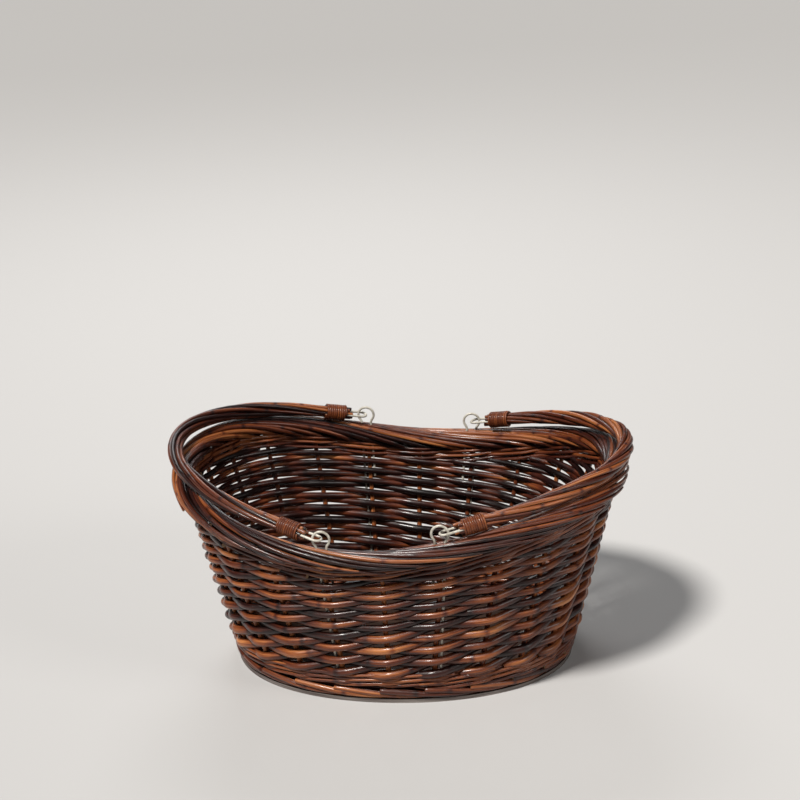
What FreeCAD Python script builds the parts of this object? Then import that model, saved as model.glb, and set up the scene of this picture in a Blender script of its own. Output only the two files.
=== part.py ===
import FreeCAD, Part
import os
import math
from FreeCAD import Vector, Placement, Rotation

# Oval woven willow fruit basket with two drop handles.
# Frame: origin at the middle of the underside, +X along the length, -Y to the
# front, +Z up, millimetres.  Everything is symmetric under a half turn about Z.
# An angle q runs round the oval: q = 0 is the front middle, q = 90 the +X end;
# the point at q is (half_length * sin q, -half_width * cos q), pushed out a
# little at the four corners, where the oval is fuller than an ellipse.

doc = FreeCAD.newDocument("woven_fruit_basket")
sheet = doc.addObject("Spreadsheet::Sheet", "dims")
sheet.Label = "dimensions"

ROWS = [
    ("foot_half_length", 163.0, "oval through the stakes at the floor, half length"),
    ("foot_half_width", 121.0, "the same, half width"),
    ("foot_fullness", 0.02, "how much fuller than an ellipse the foot is at its corners"),
    ("rim_half_length", 212.0, "oval along the middle of the rolled border, half length"),
    ("rim_half_width", 156.4, "the same, half width"),
    ("rim_fullness", 0.055, "how much fuller than an ellipse the border is at its corners"),
    ("rim_low", 161.8, "height of the border's middle at its lowest"),
    ("rim_rise", 36.0, "how much higher the ends of the border swing up"),
    ("rim_shoulder", 3.1, "how soon the border rises beside its low places"),
    ("rim_phase", -9.6, "where round the oval the border is lowest, degrees"),
    ("stake_count", 24, "uprights round the oval"),
    ("stake_start", 12.27, "angle round the oval of the first upright, degrees"),
    ("stake_foot_radius", 3.0, "upright at the board"),
    ("stake_tip_radius", 2.4, "upright where it enters the border"),
    ("stake_end_below", 3.0, "uprights stop this far below the middle of the border"),
    ("hole_play", 0.15, "clearance round uprights and wires"),
    ("board_half_length", 168.5, "oval base board, half length"),
    ("board_half_width", 126.5, "oval base board, half width"),
    ("board_thickness", 4.0, "plywood"),
    ("board_hole_radius", 3.9, "drilled holes for the uprights"),
    ("wall_half", 6.0, "half the thickness of the weaving"),
    ("foot_top", 17.0, "top of the foot border"),
    ("upset_top", 31.0, "top of the upset wale"),
    ("weave_end_below", 24.0, "side weave stops this far below the border's middle"),
    ("wale_end_below", 11.9, "top wale stops this far below the border's middle"),
    ("layer_gap", 0.15, "gap between one band of weaving and the next"),
    ("border_half_width", 13.0, "rolled border, half its width"),
    ("border_half_height", 11.2, "rolled border, half its height"),
    ("eye_one_angle", -17.6, "wire eye beside this upright, degrees"),
    ("eye_two_angle", 192.27, "the other eye of the same handle, degrees"),
    ("eye_above", 20.1, "middle of the eye above the border's middle"),
    ("eye_ring_radius", 8.0, "middle of the wire in the eye"),
    ("eye_leg_offset", 4.7, "legs of the eye, either side of the upright"),
    ("eye_wire_radius", 1.25, "galvanised wire"),
    ("eye_leg_foot", 6.0, "height of the long leg's lower end"),
    ("eye_short_leg", 45.0, "length of the short leg"),
    ("loop_wire_radius", 1.2, "wire of the handle's end loops"),
    ("loop_half_width", 5.5, "half the width of an end loop"),
    ("loop_length", 40.0, "end loop, from the hinge line to the ends of its legs"),
    ("handle_tilt", 11.6, "folded handle above the horizontal, degrees"),
    ("handle_reach", 169.0, "from the hinge line to the middle of the bow"),
    ("handle_lean", 18.0, "ends of the bow lean in, degrees"),
    ("handle_turn", 52.0, "where the bow changes from its wide to its tight arc, degrees"),
    ("handle_straight", 60.0, "straight end of the bow, from the hinge line"),
    ("core_radius", 3.2, "thick willow rod in the middle of the handle"),
    ("rod_radius", 1.95, "thinner willow rods laid round it"),
    ("rod_pitch", 5.2, "from the middle of the thick rod to the middle of each thinner rod"),
    ("rod_count", 8, "thinner rods round the thick one"),
    ("rod_start", 16.0, "rods start this far from the hinge line"),
    ("binding_start", 21.0, "binding starts this far from the hinge line"),
    ("binding_length", 24.0, "length of the coiled binding"),
    ("binding_turns", 10, "turns of the binding"),
    ("binding_inner", 7.22, "inside radius of the binding"),
    ("binding_strand", 1.5, "thickness of the strand that binds the ends"),
]
sheet.set("A1", "name"); sheet.set("B1", "value"); sheet.set("C1", "meaning")
for i, (alias, value, note) in enumerate(ROWS, start=2):
    sheet.set("A%d" % i, alias)
    sheet.set("B%d" % i, str(value))
    sheet.setAlias("B%d" % i, alias)
    sheet.set("C%d" % i, note)
doc.recompute()


def dim(alias):
    return float(sheet.get(alias))


A0, B0 = dim("foot_half_length"), dim("foot_half_width")
A1, B1 = dim("rim_half_length"), dim("rim_half_width")


def rad(deg):
    return math.radians(deg)


def rim_height(q):
    """Height of the border's middle at angle q, degrees."""
    t = rad(q - dim("rim_phase"))
    return dim("rim_low") + dim("rim_rise") * math.sin(t) ** 2 + dim("rim_shoulder") * (1 - math.cos(4 * t))


def oval_point(a, b, fullness, q, z, out=0.0):
    """Point at angle q of an oval with half sizes a and b, shifted outwards by out."""
    t = rad(q)
    size = 1 + fullness * (1 - math.cos(4 * t)) / 2
    grow = 2 * fullness * math.sin(4 * t)
    x, y = a * size * math.sin(t), -b * size * math.cos(t)
    dx = a * (grow * math.sin(t) + size * math.cos(t))
    dy = -b * (grow * math.cos(t) - size * math.sin(t))
    n = math.hypot(dx, dy)
    return Vector(x + out * dy / n, y - out * dx / n, z)


def wall_point(q, z, out=0.0):
    """Point of the wall at angle q and height z, shifted outwards by out."""
    s = z / rim_height(q)
    full = dim("foot_fullness") + (dim("rim_fullness") - dim("foot_fullness")) * s
    return oval_point(A0 + (A1 - A0) * s, B0 + (B1 - B0) * s, full, q, z, out)


def rim_point(q, out=0.0, up=0.0):
    """Point of the border at angle q, off its middle line by out and up."""
    return oval_point(A1, B1, dim("rim_fullness"), q, rim_height(q) + up, out)


STAKES = [dim("stake_start") + k * 360.0 / int(dim("stake_count")) for k in range(int(dim("stake_count")))]
SEAM = dim("stake_start") - 7.5
ROUND = [SEAM + i * 5.0 for i in range(72)]


def ring_solid(corners):
    """Closed ring whose section has the given corners; each corner is a
    function from the angle round the oval to a point."""
    edges = []
    for corner in corners:
        curve = Part.BSplineCurve()
        curve.interpolate(Points=[corner(q) for q in ROUND], PeriodicFlag=True,
                          Parameters=[float(q - SEAM) for q in ROUND] + [360.0])
        edges.append(curve.toShape())
    faces = [Part.makeRuledSurface(edges[i], edges[(i + 1) % len(edges)]) for i in range(len(edges))]
    shell = Part.Shell(faces)
    shell.sewShape()
    solid = Part.Solid(shell)
    if solid.Volume < 0:
        solid.reverse()
    return solid


def bind(obj, prop, expression):
    obj.setExpression(prop, expression)


def between(z, out):
    return lambda q: wall_point(q, z, out)


def below_rim(drop, out):
    return lambda q: wall_point(q, rim_height(q) - drop, out)


def share(part, out, gap):
    """Height at a share of the side weave, between the upset and the top wale."""
    def corner(q):
        low, high = dim("upset_top"), rim_height(q) - dim("weave_end_below")
        return wall_point(q, low + (high - low) * part + gap, out)
    return corner


# ---------------------------------------------------------------- uprights
def line_placement(start, end):
    """Placement that puts a solid's own Z axis from start towards end."""
    return Placement(start, Rotation(Vector(0, 0, 1), end - start))


def cone_on_stake(name, q, low, extra, play):
    """Tapered rod along the wall at angle q, from height low."""
    top = rim_height(q) - dim("stake_end_below") + extra
    start, end = wall_point(q, low), wall_point(q, top)
    cone = doc.addObject("Part::Cone", name)
    bind(cone, "Radius1", "dims.stake_foot_radius + %s" % play)
    bind(cone, "Radius2", "dims.stake_tip_radius + %s" % play)
    cone.Height = (end - start).Length
    cone.Placement = line_placement(start, end)
    return cone


stake_rods, stake_cuts = [], []
for k, q in enumerate(STAKES):
    stake_rods.append(cone_on_stake("stake_%02d" % (k + 1), q, 0.0, 0.0, "0"))
    stake_cuts.append(cone_on_stake("stake_hole_%02d" % (k + 1), q, -1.0, 0.3, "dims.hole_play"))

# trim the lower ends flat on the floor plane
stake_group = doc.addObject("Part::Compound", "stake_group")
stake_group.Links = stake_rods
floor_slab = doc.addObject("Part::Box", "stake_trim")
floor_slab.Length, floor_slab.Width, floor_slab.Height = 500, 400, 230
floor_slab.Placement = Placement(Vector(-250, -200, 0), Rotation())
side_stakes = doc.addObject("Part::Common", "side_stakes")
side_stakes.Base, side_stakes.Tool = stake_group, floor_slab
side_stakes.Label = "side_stakes"

# ---------------------------------------------------------------- hinge line of each handle
EYE_A = rim_point(dim("eye_one_angle"), 0, dim("eye_above"))
EYE_B = rim_point(dim("eye_two_angle"), 0, dim("eye_above"))
AXIS = (EYE_B - EYE_A).normalize()
OUT = Vector(AXIS.x, AXIS.y, AXIS.z).cross(Vector(0, 0, 1)).normalize()
if OUT.x > 0:
    OUT = OUT * -1.0
UP = AXIS.cross(OUT)
MID = (EYE_A + EYE_B) * 0.5
HALF = (EYE_B - EYE_A).Length / 2
tilt = rad(dim("handle_tilt"))
REACH_DIR = OUT * math.cos(tilt) + UP * math.sin(tilt)


def frame(origin, x, y):
    """Placement whose own X and Y axes are x and y."""
    x = Vector(x.x, x.y, x.z).normalize()
    y = Vector(y.x, y.y, y.z).normalize()
    z = x.cross(y)
    m = FreeCAD.Matrix(x.x, y.x, z.x, origin.x, x.y, y.y, z.y, origin.y, x.z, y.z, z.z, origin.z, 0, 0, 0, 1)
    return Placement(m)


HALF_TURN = Placement(Vector(0, 0, 0), Rotation(Vector(0, 0, 1), 180))


def eye_shape(prefix, centre, q, turn, play):
    """Wire eye: an open ring in the plane across the hinge line, on two legs
    that run down beside the upright at angle q."""
    lean = math.degrees(math.asin(dim("eye_leg_offset") / dim("eye_ring_radius")))
    drop = dim("eye_ring_radius") * math.cos(rad(lean))
    ring = doc.addObject("Part::Torus", prefix + "_ring")
    bind(ring, "Radius1", "dims.eye_ring_radius")
    bind(ring, "Radius2", "dims.eye_wire_radius + %s" % play)
    ring.Angle3 = 360 - 2 * lean
    # the torus starts on its own X axis: turn it so that its gap points down
    start = OUT * math.sin(rad(lean)) - UP * math.cos(rad(lean))
    side = AXIS.cross(start)
    ring.Placement = turn.multiply(frame(centre, start, side))
    parts = [ring]
    foot, top = wall_point(q, 0.0), wall_point(q, rim_height(q))
    down = (foot - top).normalize()
    for sign, tag in ((1, "long"), (-1, "short")):
        p = centre + OUT * (sign * dim("eye_leg_offset")) - UP * drop
        ball = doc.addObject("Part::Sphere", "%s_%s_bend" % (prefix, tag))
        bind(ball, "Radius", "dims.eye_wire_radius + %s" % play)
        ball.Placement = turn.multiply(Placement(p, Rotation()))
        leg = doc.addObject("Part::Cylinder", "%s_%s_leg" % (prefix, tag))
        bind(leg, "Radius", "dims.eye_wire_radius + %s" % play)
        if tag == "long":
            leg.Height = (dim("eye_leg_foot") - (0.3 if play != "0" else 0) - p.z) / down.z
        else:
            leg.Height = dim("eye_short_leg") + (0.3 if play != "0" else 0)
        leg.Placement = turn.multiply(line_placement(p, p + down))
        parts += [ball, leg]
    fuse = doc.addObject("Part::MultiFuse", prefix)
    fuse.Shapes = parts
    return fuse


NO_TURN = Placement()
EYES = [
    ("hinge_eye_front_left", EYE_A, dim("eye_one_angle"), NO_TURN),
    ("hinge_eye_back_left", EYE_B, dim("eye_two_angle"), NO_TURN),
    ("hinge_eye_back_right", EYE_A, dim("eye_one_angle"), HALF_TURN),
    ("hinge_eye_front_right", EYE_B, dim("eye_two_angle"), HALF_TURN),
]
eyes, eye_cuts = [], []
for name, centre, q, turn in EYES:
    eye = eye_shape(name, centre, q, turn, "0")
    eye.Label = name
    eyes.append(eye)
    eye_cuts.append(eye_shape(name + "_hole", centre, q, turn, "dims.hole_play"))

clearance = doc.addObject("Part::Compound", "stake_and_wire_holes")
clearance.Links = stake_cuts + eye_cuts

# ---------------------------------------------------------------- base board
outline = Part.BSplineCurve()
outline.interpolate(Points=[oval_point(dim("board_half_length"), dim("board_half_width"), dim("foot_fullness"), q, 0.0)
                            for q in ROUND], PeriodicFlag=True, Parameters=[float(q - SEAM) for q in ROUND] + [360.0])
oval = doc.addObject("Part::Feature", "board_oval")
oval.Shape = Part.Wire([outline.toShape()])
blank = doc.addObject("Part::Extrusion", "board_blank")
blank.Base = oval
blank.Dir = Vector(0, 0, 1)
blank.DirMode = "Custom"
blank.Solid = True
bind(blank, "LengthFwd", "dims.board_thickness")
drills = []
for k, q in enumerate(STAKES):
    hole = doc.addObject("Part::Cylinder", "board_drill_%02d" % (k + 1))
    bind(hole, "Radius", "dims.board_hole_radius")
    hole.Height = 10
    p = wall_point(q, dim("board_thickness") / 2)
    hole.Placement = Placement(Vector(p.x, p.y, -3), Rotation())
    drills.append(hole)
drill_group = doc.addObject("Part::Compound", "board_drills")
drill_group.Links = drills
base_board = doc.addObject("Part::Cut", "base_board")
base_board.Base, base_board.Tool = blank, drill_group
base_board.Label = "base_board"

# ---------------------------------------------------------------- bands of weaving
W = dim("wall_half")
G = dim("layer_gap")
foot_low, foot_top, upset_top = dim("board_thickness") + G, dim("foot_top"), dim("upset_top")
weave_drop, wale_drop = dim("weave_end_below"), dim("wale_end_below")
bands = {
    "foot_border": [between(foot_low, -W + 0.5), between(foot_low, W - 1.0), between(foot_low + 3, W + 0.6),
                    between(foot_top - 3, W + 0.6), between(foot_top - G, W - 0.6), between(foot_top - G, -W + 0.5)],
    "upset_wale": [between(foot_top, -W), between(foot_top, W), between(upset_top - G, W), between(upset_top - G, -W)],
    "top_wale": [below_rim(weave_drop, -W), below_rim(weave_drop, W), below_rim(wale_drop, W), below_rim(wale_drop, -W)],
}
THIRDS = ["side_weave_lower", "side_weave_middle", "side_weave_upper"]
for k, name in enumerate(THIRDS):
    lo, hi = k / 3.0, (k + 1) / 3.0
    bands[name] = [share(lo, -W, 0), share(lo, W, 0), share(hi, W, -G), share(hi, -W, -G)]
bw, bh = dim("border_half_width"), dim("border_half_height")


def border_corner(turn):
    return lambda q: rim_point(q, bw * math.cos(rad(turn)), bh * math.sin(rad(turn)))


bands["rim_border"] = [border_corner(15 + 30 * i) for i in range(12)]

band_features = []
for name, corners in bands.items():
    blank = doc.addObject("Part::Feature", name + "_blank")
    blank.Shape = ring_solid(corners)
    cut = doc.addObject("Part::Cut", name)
    cut.Base, cut.Tool = blank, clearance
    cut.Refine = False
    cut.Label = name
    band_features.append(cut)

# ---------------------------------------------------------------- handles
# A handle's own frame: origin midway between its eyes, X along the hinge line,
# Y in the plane of the bow away from the hinge line, Z out of that plane.
LEFT = frame(MID, AXIS, REACH_DIR)
RIGHT = HALF_TURN.multiply(LEFT)
lean, knee = rad(dim("handle_lean")), rad(dim("handle_turn"))
S = dim("handle_straight")


def bow_arcs():
    """Radii of the wide and the tight arc of the bow."""
    u0, v0 = HALF - S * math.sin(lean), dim("handle_reach") - S * math.cos(lean)
    a, b = math.cos(lean) - math.cos(knee), math.cos(knee)
    c, e = math.sin(knee) - math.sin(lean), 1 - math.sin(knee)
    det = a * e - b * c
    return (u0 * e - b * v0) / det, (a * v0 - c * u0) / det


R_WIDE, R_TIGHT = bow_arcs()
print("bow arcs", round(R_WIDE, 1), round(R_TIGHT, 1), "half span", round(HALF, 2))


def bow_edges(inset, start):
    """Path of one rod in the bow's plane: parallel to the middle line, inset
    towards the inside, its two ends start away from the hinge line."""
    def point(side, along, turn):
        if along == "end":
            u, v = HALF - start * math.sin(lean), start * math.cos(lean)
            t = lean
        elif along == "run":
            u, v = HALF - S * math.sin(lean), S * math.cos(lean)
            t = lean
        elif along == "wide":
            u = HALF - S * math.sin(lean) - R_WIDE * (math.cos(lean) - math.cos(turn))
            v = S * math.cos(lean) + R_WIDE * (math.sin(turn) - math.sin(lean))
            t = turn
        else:
            u1 = HALF - S * math.sin(lean) - R_WIDE * (math.cos(lean) - math.cos(knee))
            v1 = S * math.cos(lean) + R_WIDE * (math.sin(knee) - math.sin(lean))
            u = u1 - R_TIGHT * (math.cos(knee) - math.cos(turn))
            v = v1 + R_TIGHT * (math.sin(turn) - math.sin(knee))
            t = turn
        # inward normal of the path
        u, v = u - inset * math.cos(t), v - inset * math.sin(t)
        return Vector(side * u, v, 0)
    h = math.pi / 2
    m1, m2 = (lean + knee) / 2, (knee + h) / 2
    return [
        Part.LineSegment(point(1, "end", 0), point(1, "run", 0)),
        Part.Arc(point(1, "run", 0), point(1, "wide", m1), point(1, "wide", knee)),
        Part.Arc(point(1, "wide", knee), point(1, "tight", m2), point(1, "tight", h)),
        Part.Arc(point(1, "tight", h), point(-1, "tight", m2), point(-1, "wide", knee)),
        Part.Arc(point(-1, "wide", knee), point(-1, "wide", m1), point(-1, "run", 0)),
        Part.LineSegment(point(-1, "run", 0), point(-1, "end", 0)),
    ]


def swept_rod(name, geometry, radius_expression, place, lift=0.0):
    """Round rod swept along a flat path drawn in a sketch."""
    spine = doc.addObject("Sketcher::SketchObject", name + "_path")
    for g in geometry:
        spine.addGeometry(g, False)
    spine.Placement = place.multiply(Placement(Vector(0, 0, lift), Rotation()))
    first = geometry[0]
    p0 = first.StartPoint
    direction = first.EndPoint - first.StartPoint
    ring = doc.addObject("Part::Circle", name + "_section")
    bind(ring, "Radius", radius_expression)
    start_place = Placement(Vector(p0.x, p0.y, lift), Rotation(Vector(0, 0, 1), direction))
    ring.Placement = place.multiply(start_place)
    sweep = doc.addObject("Part::Sweep", name)
    sweep.Sections = [ring]
    sweep.Spine = (spine, ["Edge%d" % (i + 1) for i in range(len(geometry))])
    sweep.Solid = True
    sweep.Frenet = False
    return sweep


def end_frame(side):
    """Frame at one end of a handle, Z along the straight run from the hinge."""
    p = Vector(side * HALF, 0, 0)
    run = Vector(-side * math.sin(lean), math.cos(lean), 0)
    z = Vector(0, 0, 1)
    x = run.cross(z) * -1.0
    x.normalize()
    y = run.cross(x)
    m = FreeCAD.Matrix(x.x, y.x, run.x, p.x, x.y, y.y, run.y, p.y, x.z, y.z, run.z, p.z, 0, 0, 0, 1)
    return Placement(m)


def binding_body(name, place):
    """Coil of thin split willow wound tight round the rods: a scalloped sleeve."""
    body = doc.addObject("PartDesign::Body", name + "_body")
    plane = [f for f in body.Origin.OriginFeatures if f.Role == "XZ_Plane"][0]
    axis = [f for f in body.Origin.OriginFeatures if f.Role == "Z_Axis"][0]
    sk = body.newObject("Sketcher::SketchObject", name + "_profile")
    sk.AttachmentSupport = [(plane, "")]
    sk.MapMode = "FlatFace"
    ri, thick = dim("binding_inner"), dim("binding_strand")
    n, length, z0 = int(dim("binding_turns")), dim("binding_length"), dim("binding_start")
    step = length / n
    valley, peak = ri + 0.35 * thick, ri + thick
    pts = [Vector(ri, z0, 0), Vector(valley, z0, 0)]
    sk.addGeometry(Part.LineSegment(pts[0], pts[1]), False)
    for k in range(n):
        a, b = z0 + k * step, z0 + (k + 1) * step
        sk.addGeometry(Part.Arc(Vector(valley, a, 0), Vector(peak, (a + b) / 2, 0), Vector(valley, b, 0)), False)
    sk.addGeometry(Part.LineSegment(Vector(valley, z0 + length, 0), Vector(ri, z0 + length, 0)), False)
    sk.addGeometry(Part.LineSegment(Vector(ri, z0 + length, 0), Vector(ri, z0, 0)), False)
    rev = body.newObject("PartDesign::Revolution", name + "_wound")
    rev.Profile = sk
    rev.ReferenceAxis = (axis, [""])
    rev.Angle = 360
    body.Tip = rev
    body.Placement = place
    body.Label = name
    return body


r = dim("rod_pitch")
ROD_COUNT = int(dim("rod_count"))
LAYOUT = [("core_rod", 0.0, 0.0)]
for k in range(ROD_COUNT):
    turn = 2 * math.pi * k / ROD_COUNT
    LAYOUT.append(("rod_%d" % (k + 1), r * math.cos(turn), r * math.sin(turn)))
# the rods are cut off unevenly at their ends
STARTS = {"core_rod": 2.0, "rod_1": 0.0, "rod_2": 2.5, "rod_3": -1.0, "rod_4": 3.0, "rod_5": 1.0, "rod_6": -0.5,
          "rod_7": 2.0, "rod_8": 0.5}

handle_features = []
for side_name, place in (("left", LEFT), ("right", RIGHT)):
    leg_drills = []
    loops = []
    for side, where in ((-1, "front"), (1, "back")):
        if side_name == "right":
            where = "back" if where == "front" else "front"
        ends = place.multiply(end_frame(side))
        # end loop: a hairpin whose bend lies on the hinge line
        wloop, reach = dim("loop_half_width"), dim("loop_length")
        lf = ends.multiply(Placement(Vector(0, 0, 0), Rotation(Vector(1, 0, 0), 90)))
        # in this frame X is across the run and Y is along it
        hairpin = [
            Part.LineSegment(Vector(-wloop, reach, 0), Vector(-wloop, wloop, 0)),
            Part.Arc(Vector(-wloop, wloop, 0), Vector(0, 0, 0), Vector(wloop, wloop, 0)),
            Part.LineSegment(Vector(wloop, wloop, 0), Vector(wloop, reach, 0)),
        ]
        loop = swept_rod("handle_%s_end_loop_%s" % (side_name, where), hairpin, "dims.loop_wire_radius", lf)
        loop.Label = "handle_%s_end_loop_%s" % (side_name, where)
        loops.append(loop)
        for sgn in (-1, 1):
            drill = doc.addObject("Part::Cylinder", "drill_%s_%s_%s" % (side_name, where, "in" if sgn > 0 else "out"))
            bind(drill, "Radius", "dims.loop_wire_radius + 0.1")
            drill.Height = reach - 10 + 0.3
            drill.Placement = lf.multiply(Placement(Vector(sgn * wloop, 10, 0), Rotation(Vector(1, 0, 0), -90)))
            leg_drills.append(drill)
        binding = binding_body("handle_%s_binding_%s" % (side_name, where), ends)
        handle_features += [loop, binding]
    drill_set = doc.addObject("Part::Compound", "handle_%s_wire_holes" % side_name)
    drill_set.Links = leg_drills
    for tag, inset, lift in LAYOUT:
        name = "handle_%s_%s" % (side_name, tag)
        path = bow_edges(inset, dim("rod_start") + STARTS[tag])
        size = "dims.core_radius" if tag == "core_rod" else "dims.rod_radius"
        if abs(lift) < 1e-6 and abs(inset) > 1e-6:
            rod = swept_rod(name + "_whole", path, size, place, lift)
            cut = doc.addObject("Part::Cut", name)
            cut.Base, cut.Tool = rod, drill_set
            cut.Refine = False
            rod = cut
        else:
            rod = swept_rod(name, path, size, place, lift)
        rod.Label = name
        handle_features.append(rod)

doc.recompute()

# ---------------------------------------------------------------- check and write
pieces = [base_board, side_stakes] + band_features + eyes + handle_features
bad = [o.Name for o in doc.Objects if ("Invalid" in o.State or "Error" in o.State)]
if bad:
    raise RuntimeError("failed features: %s" % bad)
os.makedirs("parts", exist_ok=True)
for old in os.listdir("parts"):
    if old.endswith(".step"):
        os.remove(os.path.join("parts", old))
total = 0.0
for piece in pieces:
    shape = piece.Shape
    if shape.isNull() or not shape.isValid() or not shape.Solids:
        raise RuntimeError("bad shape: %s" % piece.Label)
    volume = sum(s.Volume for s in shape.Solids)
    if volume <= 0:
        raise RuntimeError("inside out: %s" % piece.Label)
    total += volume
    box = shape.BoundBox
    print("%-34s solids %2d  volume %10.0f  x %7.1f %7.1f  y %7.1f %7.1f  z %7.2f %7.2f" % (
        piece.Label, len(shape.Solids), volume, box.XMin, box.XMax, box.YMin, box.YMax, box.ZMin, box.ZMax))
    shape.exportStep(os.path.join("parts", piece.Label + ".step"))
print("pieces", len(pieces), "total volume", round(total))
print("left axis", AXIS, "front eye", EYE_A, "back eye", EYE_B)
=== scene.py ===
import bpy
import math
import numpy as np
from mathutils import Matrix, Vector


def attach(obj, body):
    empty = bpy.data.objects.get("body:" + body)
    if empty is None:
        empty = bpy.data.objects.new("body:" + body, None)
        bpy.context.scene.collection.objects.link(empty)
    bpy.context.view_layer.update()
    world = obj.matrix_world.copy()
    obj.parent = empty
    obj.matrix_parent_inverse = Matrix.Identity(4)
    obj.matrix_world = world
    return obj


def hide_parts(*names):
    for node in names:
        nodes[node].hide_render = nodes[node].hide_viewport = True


# ------------------------------------------------------------------ the frame
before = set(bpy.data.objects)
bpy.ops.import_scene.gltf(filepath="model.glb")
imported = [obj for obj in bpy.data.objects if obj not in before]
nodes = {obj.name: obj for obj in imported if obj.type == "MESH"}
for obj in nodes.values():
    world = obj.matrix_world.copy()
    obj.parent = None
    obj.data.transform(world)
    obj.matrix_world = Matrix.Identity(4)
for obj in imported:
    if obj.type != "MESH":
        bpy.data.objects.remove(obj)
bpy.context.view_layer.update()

SCENE = bpy.context.scene
MM = 0.001

# the oval the basket is built on, in millimetres, as in the CAD model
A0, B0, K0 = 163.0, 121.0, 0.02        # through the uprights at the floor
A1, B1, K1 = 212.0, 156.4, 0.055       # middle of the rolled border
RIM_LOW, RIM_RISE, RIM_SHOULDER, RIM_PHASE = 161.8, 36.0, 3.1, -9.6
START, SPACES = 12.27, 24
STEP = 360.0 / SPACES
STAKE_Q = [START + k * STEP for k in range(SPACES)]
FOOT_TOP, UPSET_TOP = 17.0, 31.0
EYE_Q = (-17.6, 192.27)
EYE_ABOVE, EYE_R, EYE_LEG = 20.1, 8.0, 4.7
TILT, REACH, LEAN, TURN, STRAIGHT = 11.6, 169.0, 18.0, 52.0, 60.0


def rad(d):
    return np.radians(d)


def rim_height(q):
    t = rad(np.asarray(q, float) - RIM_PHASE)
    return RIM_LOW + RIM_RISE * np.sin(t) ** 2 + RIM_SHOULDER * (1 - np.cos(4 * t))


def oval(a, b, k, q, out):
    """An oval a little fuller at its corners than an ellipse, moved outwards by out."""
    t = rad(q)
    size = 1 + k * (1 - np.cos(4 * t)) / 2
    grow = 2 * k * np.sin(4 * t)
    x, y = a * size * np.sin(t), -b * size * np.cos(t)
    dx = a * (grow * np.sin(t) + size * np.cos(t))
    dy = -b * (grow * np.cos(t) - size * np.sin(t))
    n = np.hypot(dx, dy)
    return x + out * dy / n, y - out * dx / n


def wall(q, z, out):
    """Points on the wall: q degrees round the oval, z up, out outwards."""
    q, z, out = np.broadcast_arrays(np.asarray(q, float), np.asarray(z, float), np.asarray(out, float))
    s = z / rim_height(q)
    x, y = oval(A0 + (A1 - A0) * s, B0 + (B1 - B0) * s, K0 + (K1 - K0) * s, q, out)
    return np.stack([x, y, z + 0 * x], -1)


def rim(q, out, up):
    q, out, up = np.broadcast_arrays(np.asarray(q, float), np.asarray(out, float), np.asarray(up, float))
    x, y = oval(A1, B1, K1, q, out)
    return np.stack([x, y, rim_height(q) + up], -1)


# ------------------------------------------------------------------ rods
def smooth_noise(rng, x, scale, octaves=2):
    """One-dimensional smooth noise at the places x, about -1 to 1."""
    total = np.zeros_like(x, float)
    amp = 1.0
    for _ in range(octaves):
        lo = math.floor(x.min() / scale) - 2
        hi = math.ceil(x.max() / scale) + 3
        vals = rng.uniform(-1, 1, hi - lo + 1)
        t = x / scale - lo
        i = np.floor(t).astype(int)
        f = t - i
        f = f * f * (3 - 2 * f)
        total += amp * (vals[i] * (1 - f) + vals[i + 1] * f)
        amp *= 0.5
        scale *= 0.45
    return total


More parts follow.
